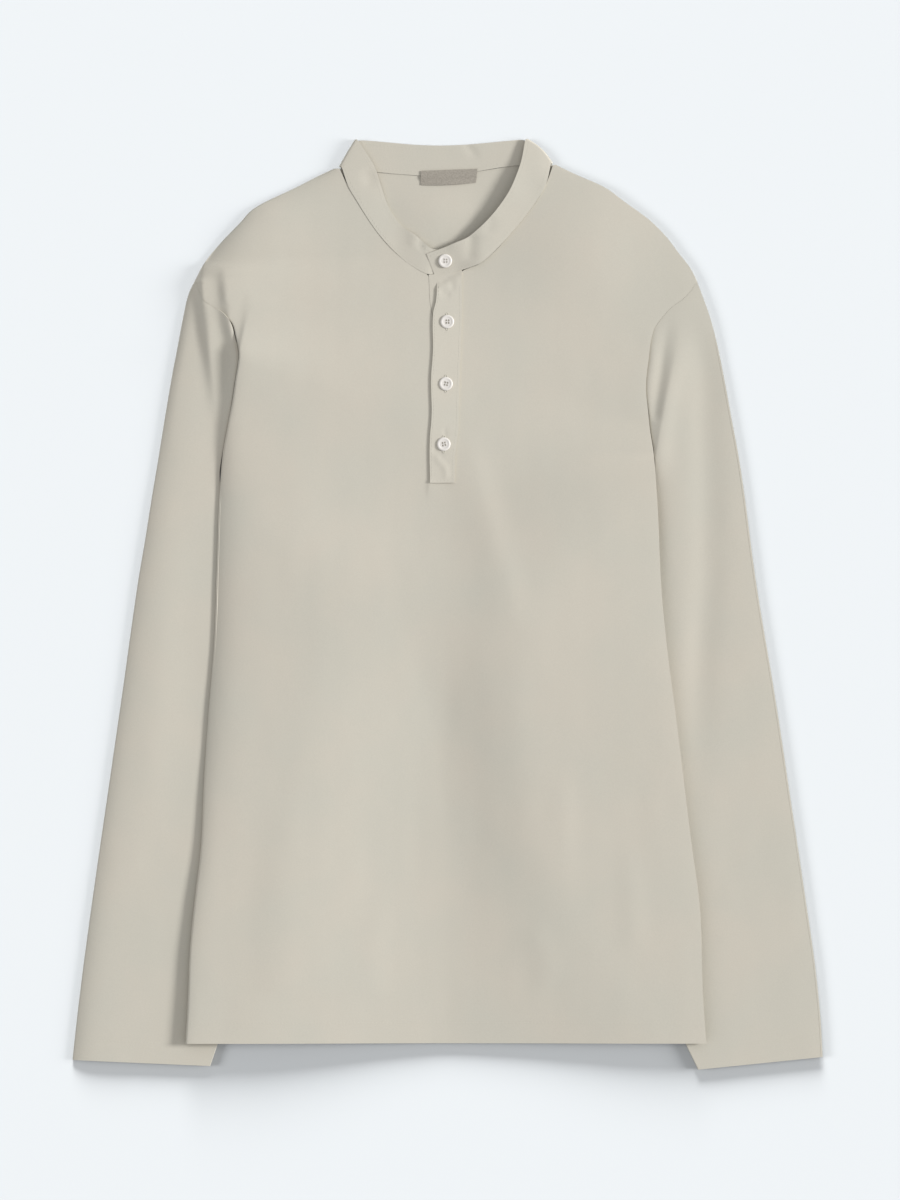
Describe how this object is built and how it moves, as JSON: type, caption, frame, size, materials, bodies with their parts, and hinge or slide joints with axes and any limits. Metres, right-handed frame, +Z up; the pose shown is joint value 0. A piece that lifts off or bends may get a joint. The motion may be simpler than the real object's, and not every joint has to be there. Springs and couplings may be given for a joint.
{
  "type": "long-sleeved button-neck t-shirt",
  "caption": "Long-sleeved jersey t-shirt with a band collar and a half-length button placket, laid flat face up, its sleeves straight down beside the body and partly under its sides.",
  "frame": {"origin": "on the surface the garment lies on, in the middle of its outline", "axes": "+X from the wearer's right to left across the body, +Y from hem to neck, +Z up from the surface, towards a viewer of the front"},
  "size_m": [0.623, 0.773, 0.0159],
  "materials": {
    "cloth": "stone-coloured cotton jersey, matt, fine vertical wales",
    "button": "pale grey-white shirt button, soft gloss",
    "label": "grey-brown woven tape, blank"
  },
  "bodies": {
    "root": {"front": "cloth", "back": "cloth", "sleeve_right": "cloth", "sleeve_left": "cloth", "collar_band": "cloth", "placket_over": "cloth", "placket_under": "cloth", "button_1": "button", "button_2": "button", "button_3": "button", "button_4": "button", "neck_label": "label"}
  },
  "joints": []
}
